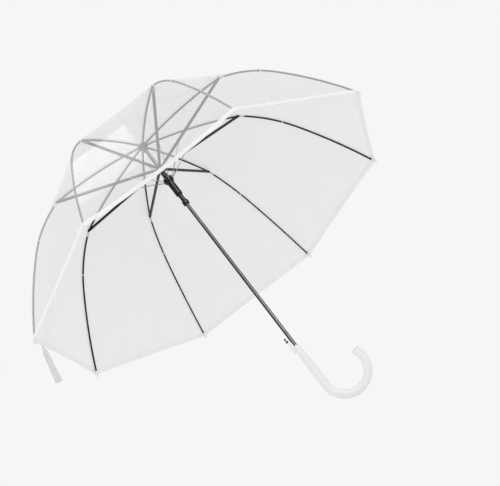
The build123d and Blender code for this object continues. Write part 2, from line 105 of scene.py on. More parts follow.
@dataclass(frozen=True)
class Finish:
    """A procedural surface: one Principled shader with grain in colour, gloss and relief.

    Args:
        name: the material's name.
        light: base colour on the high side of the grain.
        dark: base colour on the low side of the grain.
        gloss: lowest and highest roughness that the grain reaches.
        grain: noise scale per metre.
        relief: height of the surface relief in metres.
        stretch: how the noise is squeezed along X, Y and Z.
        metal: metallic share.
        specular: specular level.
        alpha: opacity.
    """

    name: str
    light: tuple[float, float, float]
    dark: tuple[float, float, float]
    gloss: tuple[float, float] = (0.3, 0.4)
    grain: float = 120.0
    relief: float = 0.00002
    stretch: tuple[float, float, float] = (1.0, 1.0, 1.0)
    metal: float = 0.0
    specular: float = 0.5
    alpha: float = 1.0

    def build(self) -> bpy.types.Material:
        """Make the material, or take it where it was made before.

        Returns:
            The material, one for all pieces of this finish.
        """
        if self.name in MADE:
            return MADE[self.name]
        material = bpy.data.materials.new(self.name)
        MADE[self.name] = material
        material.use_nodes = True
        tree = material.node_tree
        shader = tree.nodes["Principled BSDF"]
        shader.inputs["Metallic"].default_value = self.metal
        shader.inputs["Specular IOR Level"].default_value = self.specular
        shader.inputs["Alpha"].default_value = self.alpha
        place = tree.nodes.new("ShaderNodeTexCoord")
        scale = tree.nodes.new("ShaderNodeMapping")
        scale.inputs["Scale"].default_value = self.stretch
        tree.links.new(place.outputs["Object"], scale.inputs["Vector"])
        noise = tree.nodes.new("ShaderNodeTexNoise")
        noise.inputs["Scale"].default_value = self.grain
        noise.inputs["Detail"].default_value = GRAIN_DETAIL
        tree.links.new(scale.outputs["Vector"], noise.inputs["Vector"])
        ramp = tree.nodes.new("ShaderNodeValToRGB")
        for stop, place_at, tone in zip(
            ramp.color_ramp.elements, GRAIN_SPAN, (self.dark, self.light)
        ):
            stop.position, stop.color = place_at, (*tone, 1.0)
        tree.links.new(noise.outputs["Fac"], ramp.inputs["Fac"])
        tree.links.new(ramp.outputs["Color"], shader.inputs["Base Color"])
        gloss = tree.nodes.new("ShaderNodeMapRange")
        for socket, value in zip(
            ("From Min", "From Max", "To Min", "To Max"), (*GRAIN_SPAN, *self.gloss)
        ):
            gloss.inputs[socket].default_value = value
        tree.links.new(noise.outputs["Fac"], gloss.inputs["Value"])
        tree.links.new(gloss.outputs["Result"], shader.inputs["Roughness"])
        bump = tree.nodes.new("ShaderNodeBump")
        bump.inputs["Distance"].default_value = self.relief
        bump.inputs["Strength"].default_value = RELIEF_STRENGTH
        tree.links.new(noise.outputs["Fac"], bump.inputs["Height"])
        tree.links.new(bump.outputs["Normal"], shader.inputs["Normal"])
        return material


FILM = Finish(
    "clear_film", (0.81, 0.84, 0.81), (0.77, 0.80, 0.77), (0.05, 0.09), grain=14.0,
    relief=0.0003, alpha=0.40, specular=0.6,
)
SEAM = Finish(
    "welded_seam", (0.86, 0.89, 0.87), (0.82, 0.85, 0.83), (0.12, 0.20), grain=60.0,
    relief=0.0002, alpha=0.52,
)
HEM = Finish(
    "white_hem", (0.96, 0.965, 0.955), (0.93, 0.935, 0.925), (0.26, 0.36), grain=80.0,
    relief=0.0001, alpha=0.90,
)
STRAP = Finish(
    "strap_vinyl", (0.76, 0.775, 0.765), (0.70, 0.715, 0.705), (0.20, 0.30), grain=60.0,
    relief=0.0001, alpha=0.50,
)
STRAP_EDGE = Finish(
    "strap_welt", (0.80, 0.81, 0.80), (0.74, 0.75, 0.74), (0.20, 0.30), grain=90.0,
    relief=0.0001, alpha=0.62,
)
BLACK_STEEL = Finish(
    "painted_black_steel", (0.010, 0.010, 0.011), (0.005, 0.005, 0.006), (0.34, 0.48),
    grain=240.0, specular=0.20,
)
DARK_TUBE = Finish(
    "dark_steel_tube", (0.068, 0.068, 0.071), (0.060, 0.060, 0.063), (0.29, 0.33),
    grain=70.0, relief=0.000002, stretch=(1.0, 1.0, 0.06), metal=1.0,
)
WIRE = Finish(
    "steel_wire", (0.30, 0.30, 0.31), (0.22, 0.22, 0.23), (0.22, 0.34), grain=300.0,
    metal=0.9,
)
BLACK_PLASTIC = Finish(
    "black_moulding", (0.012, 0.012, 0.013), (0.006, 0.006, 0.007), (0.16, 0.26),
    grain=160.0, specular=0.22,
)
WHITE_PLASTIC = Finish(
    "satin_white_moulding", (0.91, 0.91, 0.90), (0.88, 0.88, 0.87), (0.40, 0.50),
    grain=90.0, relief=0.00002, specular=0.14,
)
CLEAR_GUARD = Finish(
    "frosted_guard", (0.86, 0.87, 0.86), (0.78, 0.79, 0.78), (0.25, 0.38), grain=260.0,
    alpha=0.82,
)
FLOOR = Finish(
    "pale_floor", (0.84, 0.84, 0.84), (0.82, 0.82, 0.82), (0.7, 0.8), grain=4.0,
)

NODE_FINISH: dict[Slot, Finish] = {
    Slot.FILM: FILM,
    Slot.BLACK_STEEL: BLACK_STEEL,
    Slot.DARK_TUBE: DARK_TUBE,
    Slot.WIRE: WIRE,
    Slot.BLACK_PLASTIC: BLACK_PLASTIC,
    Slot.WHITE_PLASTIC: WHITE_PLASTIC,
    Slot.STRAP_FILM: STRAP,
}


# --------------------------------------------------------------------------- mesh help


@dataclass
class Surface:
    """Points, faces and their material numbers, gathered before a mesh is made."""

    points: list[Vector] = field(default_factory=list)
    faces: list[tuple[int, ...]] = field(default_factory=list)
    kinds: list[int] = field(default_factory=list)
    normals: list[Vector] = field(default_factory=list)

    def grid(
        self, rows: Sequence[Sequence[Vector]], kind: Callable[[int, int], int] | None = None,
        closed: bool = False,
    ) -> None:
        """Add a grid of quads.

        Args:
            rows: rows of points, all of one length.
            kind: material number of the quad at a row and column, 0 if left out.
            closed: join the last column to the first.
        """
        start, wide = len(self.points), len(rows[0])
        for row in rows:
            self.points.extend(row)
        for r in range(len(rows) - 1):
            for c in range(wide if closed else wide - 1):
                a = start + r * wide + c
                b = start + r * wide + (c + 1) % wide
                self.faces.append((a, b, b + wide, a + wide))
                self.kinds.append(kind(r, c) if kind else 0)

    def cap(self, ring: Sequence[Vector], outward: Vector, kind: int = 0) -> None:
        """Close a ring of points with a fan of faces.

        Args:
            ring: the points, in order round the ring.
            outward: the way that the faces look.
            kind: their material number.
        """
        start = len(self.points)
        middle = sum(ring, Vector()) / len(ring)
        self.points.extend(ring)
        self.points.append(middle)
        size = len(ring)
        area = sum(
            ((ring[k] - middle).cross(ring[(k + 1) % size] - middle) for k in range(size)),
            Vector(),
        )
        forward = area.dot(outward) > 0
        for k in range(size):
            a, b = start + k, start + (k + 1) % size
            self.faces.append((a, b, start + size) if forward else (b, a, start + size))
            self.kinds.append(kind)

    def build(
        self, name: str, body: str, slot: Slot, finishes: Iterable[Finish], merge: bool = True,
    ) -> bpy.types.Object:
        """Make the object, dress it and let it ride on a body.

        Args:
            name: the object's name.
            body: the CAD body that it rides on.
            slot: the record's material slot that it stands for.
            finishes: its materials, in the order of the material numbers.
            merge: weld points that lie on each other.

        Returns:
            The finished object.
        """
        mesh = bpy.data.meshes.new(name)
        mesh.from_pydata([tuple(p) for p in self.points], [], self.faces)
        for finish in finishes:
            mesh.materials.append(finish.build())
        mesh.polygons.foreach_set("material_index", self.kinds)
        mesh.polygons.foreach_set("use_smooth", [True] * len(self.faces))
        mesh.validate()
        if self.normals:
            mesh.normals_split_custom_set_from_vertices([tuple(n) for n in self.normals])
        elif merge:
            weld(mesh)
        return dress(link(bpy.data.objects.new(name, mesh)), body, slot)


def weld(mesh: bpy.types.Mesh) -> None:
    """Join points that lie within a hundredth of a millimetre.

    Args:
        mesh: the mesh to weld.
    """
    work = bmesh.new()
    work.from_mesh(mesh)
    bmesh.ops.remove_doubles(work, verts=work.verts, dist=1e-5)
    work.to_mesh(mesh)
    work.free()
    mesh.update()


def link(piece: bpy.types.Object) -> bpy.types.Object:
    """Put an object in the scene and return it."""
    bpy.context.scene.collection.objects.link(piece)
    return piece


def dress(piece: bpy.types.Object, body: str, slot: Slot) -> bpy.types.Object:
    """Let a piece ride on a body and report it.

    Args:
        piece: the finished piece.
        body: the CAD body that it rides on.
        slot: the record's material slot that it stands for; not used.

    Returns:
        The same piece.
    """
    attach(piece, body)
    LOG.info("%s on %s", piece.name, body)
    return piece


def azimuth(rib: int) -> float:
    """Angle of a rib about the shaft, rib 1 first."""
    return FIRST_RIB + RIB_STEP * (rib - 1)


def outward(angle: float) -> Vector:
    """Unit vector away from the shaft at an angle."""
    return Vector((math.cos(angle), math.sin(angle), 0.0))


def sideways(angle: float) -> Vector:
    """Unit vector round the shaft at an angle."""
    return Vector((-math.sin(angle), math.cos(angle), 0.0))


def on_plane(angle: float, spot: tuple[float, float]) -> Vector:
    """The point of a rib's own plane at a radius and a height."""
    return outward(angle) * spot[0] + Vector((0.0, 0.0, spot[1]))


# --------------------------------------------------------------------------- node trees


class Repeats:
    """Geometry Nodes trees for what repeats along a path, and for coils."""

    @staticmethod
    def _group(name: str, sockets: dict[str, str]) -> bpy.types.GeometryNodeTree:
        """Start a tree with a geometry input and output.

        Args:
            name: the tree's name.
            sockets: the type of each further input, by its name.

        Returns:
            The tree, still without nodes.
        """
        tree = bpy.data.node_groups.new(name, "GeometryNodeTree")
        tree.interface.new_socket(
            "Geometry", in_out="INPUT", socket_type="NodeSocketGeometry"
        )
        for label, kind in sockets.items():
            tree.interface.new_socket(label, in_out="INPUT", socket_type=kind)
        tree.interface.new_socket(
            "Geometry", in_out="OUTPUT", socket_type="NodeSocketGeometry"
        )
        return tree

    @staticmethod
    def _end(
        tree: bpy.types.GeometryNodeTree, given: bpy.types.Node,
        shape: bpy.types.NodeSocket,
    ) -> None:
        """End a tree: real geometry, smooth, in the material of its Finish input.

        Args:
            tree: the tree.
            given: its input node.
            shape: the geometry made so far.
        """
        for kind in ("GeometryNodeRealizeInstances", "GeometryNodeSetShadeSmooth",
                     "GeometryNodeSetMaterial", "NodeGroupOutput"):
            node = tree.nodes.new(kind)
            tree.links.new(shape, node.inputs["Geometry"])
            if "Material" in node.inputs:
                tree.links.new(given.outputs["Finish"], node.inputs["Material"])
            if node.outputs:
                shape = node.outputs["Geometry"]

    @classmethod
    def marks(cls) -> bpy.types.GeometryNodeTree:
        """Make the tree for domed marks that lie on the surface a path follows.

        Returns:
            The tree, one for all paths.
        """
        known = bpy.data.node_groups.get("marks_along_path")
        if known:
            return known
        tree = cls._group("marks_along_path", {
            "Spacing": "NodeSocketFloat", "Size": "NodeSocketVector",
            "Finish": "NodeSocketMaterial",
        })
        add, join = tree.nodes.new, tree.links.new
        given = add("NodeGroupInput")
        curve, step = add("GeometryNodeMeshToCurve"), add("GeometryNodeResampleCurve")
        step.mode = "LENGTH"
        facing = add("GeometryNodeInputNamedAttribute")
        facing.data_type = "FLOAT_VECTOR"
        facing.inputs["Name"].default_value = "facing"
        tangent, turn = add("GeometryNodeInputTangent"), add("FunctionNodeAxesToRotation")
        turn.primary_axis, turn.secondary_axis = "Z", "X"
        dome, place = add("GeometryNodeMeshUVSphere"), add("GeometryNodeInstanceOnPoints")
        dome.inputs["Segments"].default_value = 12
        dome.inputs["Rings"].default_value = 6
        dome.inputs["Radius"].default_value = 1.0
        join(given.outputs["Geometry"], curve.inputs["Mesh"])
        join(curve.outputs["Curve"], step.inputs["Curve"])
        join(given.outputs["Spacing"], step.inputs["Length"])
        join(facing.outputs["Attribute"], turn.inputs["Primary Axis"])
        join(tangent.outputs["Tangent"], turn.inputs["Secondary Axis"])
        join(step.outputs["Curve"], place.inputs["Points"])
        join(dome.outputs["Mesh"], place.inputs["Instance"])
        join(turn.outputs["Rotation"], place.inputs["Rotation"])
        join(given.outputs["Size"], place.inputs["Scale"])
        cls._end(tree, given, place.outputs["Instances"])
        return tree

    @classmethod
    def coil(cls) -> bpy.types.GeometryNodeTree:
        """Make the tree for a round wire wound in a coil about the Z axis.

        Returns:
            The tree.
        """
        tree = cls._group("wound_wire", {
            "Turns": "NodeSocketFloat", "Radius": "NodeSocketFloat",
            "Wire": "NodeSocketFloat", "Height": "NodeSocketFloat",
            "Place": "NodeSocketVector", "Finish": "NodeSocketMaterial",
        })
        add, join = tree.nodes.new, tree.links.new
        given = add("NodeGroupInput")
        spiral, ring = add("GeometryNodeCurveSpiral"), add("GeometryNodeCurvePrimitiveCircle")
        spiral.inputs["Resolution"].default_value = 40
        ring.inputs["Resolution"].default_value = 10
        tube, move = add("GeometryNodeCurveToMesh"), add("GeometryNodeTransform")
        tube.inputs["Fill Caps"].default_value = True
        join(given.outputs["Turns"], spiral.inputs["Rotations"])
        join(given.outputs["Radius"], spiral.inputs["Start Radius"])
        join(given.outputs["Radius"], spiral.inputs["End Radius"])
        join(given.outputs["Height"], spiral.inputs["Height"])
        join(given.outputs["Wire"], ring.inputs["Radius"])
        join(spiral.outputs["Curve"], tube.inputs["Curve"])
        join(ring.outputs["Curve"], tube.inputs["Profile Curve"])
        join(tube.outputs["Mesh"], move.inputs["Geometry"])
        join(given.outputs["Place"], move.inputs["Translation"])
        cls._end(tree, given, move.outputs["Geometry"])
        return tree

    @staticmethod
    def run(
        piece: bpy.types.Object, tree: bpy.types.GeometryNodeTree, values: dict[str, object],
    ) -> bpy.types.Object:
        """Evaluate a tree on an object and keep the result as its plain mesh.

        Args:
            piece: the object whose mesh feeds the tree.
            tree: the node tree.
            values: the value of each named input.

        Returns:
            The same object, without the tree.
        """
        modifier = piece.modifiers.new("repeats", "NODES")
        modifier.node_group = tree
        for item in tree.interface.items_tree:
            if item.item_type == "SOCKET" and item.in_out == "INPUT" and item.name in values:
                modifier[item.identifier] = values[item.name]
        ready = piece.evaluated_get(bpy.context.evaluated_depsgraph_get())
        mesh = bpy.data.meshes.new_from_object(ready)
        piece.modifiers.remove(modifier)
        piece.data = mesh
        mesh.name = piece.name
        return piece


def path_object(
    name: str, runs: Sequence[Sequence[Vector]], facings: Sequence[Sequence[Vector]],
) -> bpy.types.Object:
    """An object of edges only, whose points carry the direction that marks face.

    Args:
        name: the object's name.
        runs: lists of points, one list to a path.
        facings: the outward direction at each point.

    Returns:
        The object.
    """
    points = [p for run in runs for p in run]
    edges, start = [], 0
    for run in runs:
        edges += [(start + k, start + k + 1) for k in range(len(run) - 1)]
        start += len(run)
    mesh = bpy.data.meshes.new(name)
    mesh.from_pydata([tuple(p) for p in points], edges, [])
    facing = mesh.attributes.new("facing", "FLOAT_VECTOR", "POINT")
    facing.data.foreach_set("vector", [x for row in facings for v in row for x in v])
    return link(bpy.data.objects.new(name, mesh))


# ------------------------------------------------------------------------- rib profile


@dataclass(frozen=True)
class Bow:
    """A circular arc in a rib's plane, bowed outward, measured along its length."""

    start: tuple[float, float]
    end: tuple[float, float]
    bow: float

    @property
    def chord(self) -> float:
        """Straight distance between the arc's ends."""
        return math.dist(self.start, self.end)

    @property
    def radius(self) -> float:
        """Radius of the arc."""
        return self.chord**2 / (8 * self.bow) + self.bow / 2

    @property
    def length(self) -> float:
        """Length along the arc."""
        return 2 * self.radius * math.asin(self.chord / 2 / self.radius)

    def _centre(self) -> tuple[float, float]:
        """Find the centre of the arc.

        Returns:
            Its radius and height.
        """
        run, rise = self.end[0] - self.start[0], self.end[1] - self.start[1]
        out = (-rise / self.chord, run / self.chord)
        return tuple(
            (self.start[k] + self.end[k]) / 2 - out[k] * (self.radius - self.bow)
            for k in (0, 1)
        )

    def point(self, along: float, lift: float = 0.0) -> tuple[float, float]:
        """Find a point of the arc.

        Args:
            along: length along the arc.
            lift: distance outward from the arc.

        Returns:
            Its radius and height.
        """
        centre = self._centre()
        first = math.atan2(self.start[1] - centre[1], self.start[0] - centre[0])
        angle = first - along / self.radius
        reach = self.radius + lift
        return centre[0] + reach * math.cos(angle), centre[1] + reach * math.sin(angle)

    def heading(self, along: float) -> tuple[float, float]:
        """Find the way that the arc runs.

        Args:
            along: length along the arc.

        Returns:
            A unit direction, as a radius and a height.
        """
        a, b = self.point(along - 1e-5), self.point(along + 1e-5)
        size = math.dist(a, b)
        return (b[0] - a[0]) / size, (b[1] - a[1]) / size


@dataclass(frozen=True)
class RibLine:
    """The centreline of one rib, in three bowed lengths."""

    hub: tuple[float, float] = (0.009, 0.639)
    joint: tuple[float, float] = (0.2385, 0.603)
    bend: tuple[float, float] = (0.340, 0.507)
    tip: tuple[float, float] = (0.436, 0.332)
    bows: tuple[float, float, float] = (0.007, 0.008, 0.0046)

    @property
    def arcs(self) -> dict[Section, Bow]:
        """Gather the arcs of the rib.

        Returns:
            The arc of each section.
        """
        return {
            Section.UPPER: Bow(self.hub, self.joint, self.bows[0]),
            Section.LOWER: Bow(self.joint, self.bend, self.bows[1]),
            Section.END: Bow(self.bend, self.tip, self.bows[2]),
        }


# ------------------------------------------------------------------------------ canopy


@dataclass
class Canopy:
    """The clear film: one curved sheet over all ribs, cut where the ribs bend or fold.

    The sheet is stretched over the ribs and drawn a little inward between them, with a
    welded seam over each rib and a white hem round the rim. Each field is a size in metres
    unless its comment says otherwise.
    """

    line: RibLine
    lift: float = 0.0030          # film above the ribs' centreline
    ease: float = 0.018           # half length over which a bend is smoothed
    step: float = 0.001           # between the points of the profile's table
    probe: float = 0.004          # either side of a point, to find which way is outward
    turn: float = 0.002           # the same, along the sheet, for its normal
    top: float = 0.6416
    hole: float = 0.0048
    crown: float = 0.0126
    sag: float = 0.010            # inward draw between ribs, as a share of their spacing
    rim_sag: float = 0.005        # the same at the rim
    scallop: float = 0.0025       # how far the rim rises between two tips
    scallop_flat: float = 0.15    # share by which its middle is flattened
    loose: tuple[int, float] = (7, -0.0115)   # a panel whose rim hangs instead, and its rise
    seam: float = 0.0035
    hem: float = 0.0125
    mark_step: float = 0.006
    mark: tuple[float, float, float] = (0.0013, 0.0004, 0.0002)
    mark_in: tuple[float, float] = (0.0022, 0.0012)   # from the hem's lower and upper edge
    mark_lift: float = 0.00005
    mark_from: float = -0.985     # where the row starts, -1 being the rib
    mark_points: int = 12
    keeps: tuple[float, float, float] = (0.075, 0.055, 0.045)   # width left when closed
    cut: tuple[float, float] = (1.04, 1.02)   # flat size over the size measured straight
    columns: int = 8
    steps: tuple[int, int, int] = (22, 14, 20)
    hem_rows: int = 4
    crown_rings: int = 4
    crown_points: int = 48
    pieces: list[bpy.types.Object] = field(default_factory=list)
    _table: list[tuple[float, float]] = field(default_factory=list)
    _marks: dict[Section, tuple[float, float]] = field(default_factory=dict)

    def _profile(self) -> None:
        """Tabulate the film's line over a rib at equal steps, eased over the rib's bends."""
        raw: list[tuple[float, float]] = []
        cuts: dict[Section, tuple[float, float]] = {}
        step, length = self.step, 0.0
        for section, arc in self.line.arcs.items():
            count = max(8, round(arc.length / step))
            first = length
            for k in range(count + 1):
                spot = arc.point(arc.length * k / count, self.lift)
                if section is Section.UPPER:
                    if spot[0] < self.crown:
                        continue
                    spot = (spot[0], min(spot[1], self.top))
                if raw:
                    if math.dist(raw[-1], spot) < 1e-7:
                        continue
                    length += math.dist(raw[-1], spot)
                raw.append(spot)
            cuts[section] = (first, length)
        table = [raw[0]]
        walked, k = 0.0, 1
        at = raw[0]
        while k < len(raw):
            gap = math.dist(at, raw[k])
            if walked + gap >= step:
                share = (step - walked) / gap
                at = tuple(at[i] + (raw[k][i] - at[i]) * share for i in (0, 1))
                table.append(at)
                walked = 0.0
            else:
                walked += gap
                at = raw[k]
                k += 1
        table.append(raw[-1])
        reach = round(self.ease / step)
        eased = []
        for n in range(len(table)):
            half = min(reach, n, len(table) - 1 - n)
            weights = [half + 1 - abs(j) for j in range(-half, half + 1)]
            total = sum(weights)
            eased.append(tuple(
                sum(w * table[n + j][i] for w, j in zip(weights, range(-half, half + 1)))
                / total
                for i in (0, 1)
            ))
        self._table, self._marks = eased, cuts

    def _spot(self, along: float) -> tuple[float, float]:
        """Find the film's line over a rib.

        Args:
            along: length from the crown's edge.

        Returns:
            Radius and height there.
        """
        place = max(along / self.step, 0.0)
        k = min(int(place), len(self._table) - 3)
        share = place - k
        a, b = self._table[k], self._table[k + 1]
        return a[0] + (b[0] - a[0]) * share, a[1] + (b[1] - a[1]) * share

    @property
    def _length(self) -> float:
        """Length of the film over a rib from the crown's edge to the rim."""
        return self._marks[Section.END][1]

    def place(self, middle: float, across: float, along: float) -> Vector:
        """Find a point of the sheet.

        Args:
            middle: azimuth of the middle of the panel.
            across: -1 at one rib, 0 in the middle and 1 at the next rib.
            along: length from the crown's edge.

        Returns:
            The point.
        """
        bow = 1.0 - across * across
        panel = round((middle - FIRST_RIB) / RIB_STEP + 0.5) % RIB_COUNT
        scallop = self.loose[1] if panel == self.loose[0] else self.scallop
        end = self._length - scallop * bow * (1.0 - self.scallop_flat * bow)
        share = min(along / self._length, 1.0)
        pull = max(share, 0.0) ** 3
        walk = share * (self._length * (1.0 - pull) + end * pull)
        radius, height = self._spot(walk)
        before, after = self._spot(walk - self.probe), self._spot(walk + self.probe)
        size = max(math.dist(before, after), 1e-9)
        out = (-(after[1] - before[1]) / size, (after[0] - before[0]) / size)
        half = radius * math.sin(RIB_STEP / 2)
        drawn = (self.sag + (self.rim_sag - self.sag) * pull) * 2 * half * bow
        ahead = outward(middle) * (radius * math.cos(RIB_STEP / 2))
        side = sideways(middle) * (half * across)
        away = outward(middle) * out[0] + Vector((0.0, 0.0, out[1]))
        return ahead + side + Vector((0.0, 0.0, height)) - away * drawn

    def facing(self, middle: float, across: float, along: float) -> Vector:
        """Find the sheet's outward normal; over a rib it is the mean of both panels.

        Args:
            middle: azimuth of the middle of the panel.
            across: -1 at one rib, 0 in the middle and 1 at the next rib.
            along: length from the crown's edge.

        Returns:
            The unit normal.
        """
        step = self.turn
        if abs(across) > 0.999:
            angle = middle + math.copysign(RIB_STEP / 2, across)
            ahead = self._spot(along + step)
            back = self._spot(along - step)
            size = max(math.dist(ahead, back), 1e-9)
            return (
                outward(angle) * (-(ahead[1] - back[1]) / size)
                + Vector((0.0, 0.0, (ahead[0] - back[0]) / size))
            ).normalized()
        width = self.place(middle, across + 0.01, along) - self.place(
            middle, across - 0.01, along
        )
        run = self.place(middle, across, along + step) - self.place(
            middle, across, along - step
        )
        return run.cross(width).normalized()

    def _rows(self, section: Section) -> list[float]:
        """List where a section has its rows.

        Args:
            section: the section.

        Returns:
            Lengths from the crown's edge.
        """
        first, last = self._marks[section]
        count = self.steps[list(Section).index(section)]
        edge = last - self.hem if section is Section.END else last
        rows = [first + (edge - first) * k / count for k in range(count + 1)]
        if section is Section.END:
            rows += [edge + self.hem * k / self.hem_rows for k in range(1, self.hem_rows + 1)]
        return rows

    def _shares(self, along: float) -> list[float]:
        """List where the columns of a half panel lie.

        Args:
            along: length from the crown's edge.

        Returns:
            Shares from the rib at 0 to the middle of the panel at 1.
        """
        half = self._spot(along)[0] * math.sin(RIB_STEP / 2)
        band = min(self.seam / max(half, 1e-6), 0.55)
        return [0.0, band] + [
            band + (1.0 - band) * k / self.columns for k in range(1, self.columns + 1)
        ]

    def _half(self, rib: int, side: int, section: Section) -> bpy.types.Object:
        """Make one half panel of one section.

        Args:
            rib: number of the rib.
            side: the side of the rib that it lies on, 1 or -1.
            section: the section.

        Returns:
            The piece.
        """
        angle = azimuth(rib)
        middle = angle + side * RIB_STEP / 2
        rows, facings = [], []
        lengths = self._rows(section)
        for along in lengths:
            across = [side * (share - 1.0) for share in self._shares(along)]
            row = [self.place(middle, a, along) for a in across]
            face = [self.facing(middle, a, along) for a in across]
            rows.append(row if side > 0 else row[::-1])
            facings.append(face if side > 0 else face[::-1])
        wide = len(rows[0]) - 1
        hem_from = len(lengths) - 1 - self.hem_rows
        over_rib = wide - 1 if side > 0 else 0

        def kind(r: int, c: int) -> int:
            """Choose film, seam or hem.

            Args:
                r: the quad's row.
                c: the quad's column.

            Returns:
                Its material number.
            """
            if section is Section.END and r >= hem_from:
                return 2
            return 1 if c == over_rib else 0

        surface = Surface()
        surface.grid([row[::-1] for row in rows], kind)
        surface.normals = [n for row in facings for n in row[::-1]]
        name = f"film_{section.value}_{rib}{'a' if side > 0 else 'b'}"
        piece = surface.build(name, f"rib_{section.value}_{rib}", Slot.FILM,
                              (FILM, SEAM, HEM), merge=False)
        self._fold(piece, rib, side, section)
        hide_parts("canopy")
        return piece

    def _fold(self, piece: bpy.types.Object, rib: int, side: int, section: Section) -> None:
        """Give a piece its own copy of its mesh, without gathering it toward its rib.

        Args:
            piece: the piece.
            rib: number of the rib.
            side: the side of the rib that it lies on, 1 or -1.
            section: the section that it belongs to.
        """
        angle = azimuth(rib)
        arc = self.line.arcs[section]
        start, end = on_plane(angle, arc.start), on_plane(angle, arc.end)
        rib_way = (end - start).normalized()
        across = sideways(angle + side * RIB_STEP / 2) * side
        across = (across - rib_way * across.dot(rib_way)).normalized()
        lifted = on_plane(angle, arc.point(arc.length / 2, self.lift))
        keep = self.keeps[list(Section).index(section)]
        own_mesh(piece)

    def _hem_marks(self, rib: int, side: int) -> bpy.types.Object:
        """Make small weld marks along both edges of the hem of a half panel.

        Args:
            rib: number of the rib.
            side: the side of the rib that it lies on, 1 or -1.

        Returns:
            The piece.
        """
        middle = azimuth(rib) + side * RIB_STEP / 2
        runs, facings = [], []
        for back in (self.mark_in[0], self.hem - self.mark_in[1]):
            along = self._length - back
            across = [side * (k / self.mark_points - 1.0) for k in range(self.mark_points + 1)]
            across[0] = side * self.mark_from
            points = [self.place(middle, a, along) for a in across]
            normals = [self.facing(middle, a, along) for a in across]
            runs.append([p + n * self.mark_lift for p, n in zip(points, normals)])
            facings.append(normals)
        name = f"hem_marks_{rib}{'a' if side > 0 else 'b'}"
        piece = path_object(name, runs, facings)
        Repeats.run(piece, Repeats.marks(), {
            "Spacing": self.mark_step, "Size": self.mark, "Finish": HEM.build(),
        })
        dress(piece, f"rib_end_{rib}", Slot.FILM)
        self._fold(piece, rib, side, Section.END)
        return piece

    def _crown(self) -> bpy.types.Object:
        """Make the small flat of the sheet round the shaft, held under the cap.

        Returns:
            The piece.
        """
        rings = []
        for k in range(self.crown_rings + 1):
            ring = []
            for n in range(self.crown_points):
                angle = math.tau * n / self.crown_points
                panel = (angle - FIRST_RIB) % RIB_STEP - RIB_STEP / 2
                edge = self.crown * math.cos(RIB_STEP / 2) / math.cos(panel)
                radius = self.hole + (edge - self.hole) * k / self.crown_rings
                ring.append(outward(angle) * radius + Vector((0.0, 0.0, self.top)))
            rings.append(ring)
        surface = Surface()
        surface.grid(rings, closed=True)
        piece = surface.build("film_crown", "frame", Slot.FILM, (FILM,))
        if piece.data.polygons[0].normal.z < 0:
            piece.data.flip_normals()
        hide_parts("canopy")
        return piece

    def build(self) -> None:
        self._profile()
        crown = self._crown()
        self.pieces.append(crown)
        for rib in range(1, RIB_COUNT + 1):
            for side in (1, -1):
                for section in Section:
                    piece = self._half(rib, side, section)
                    first, last = self._marks[section]
                    half = self._spot(last)[0] * math.sin(RIB_STEP / 2)
                    marks = []
                    if section is Section.END:
                        marks = [self._hem_marks(rib, side)]
                    self.pieces.append(piece)


def spread(first: float, last: float, parts: int) -> list[float]:
    """Values at equal steps from first to last, both included."""
    return [first + (last - first) * k / parts for k in range(parts + 1)]


# ------------------------------------------------------------------- fittings on a rib


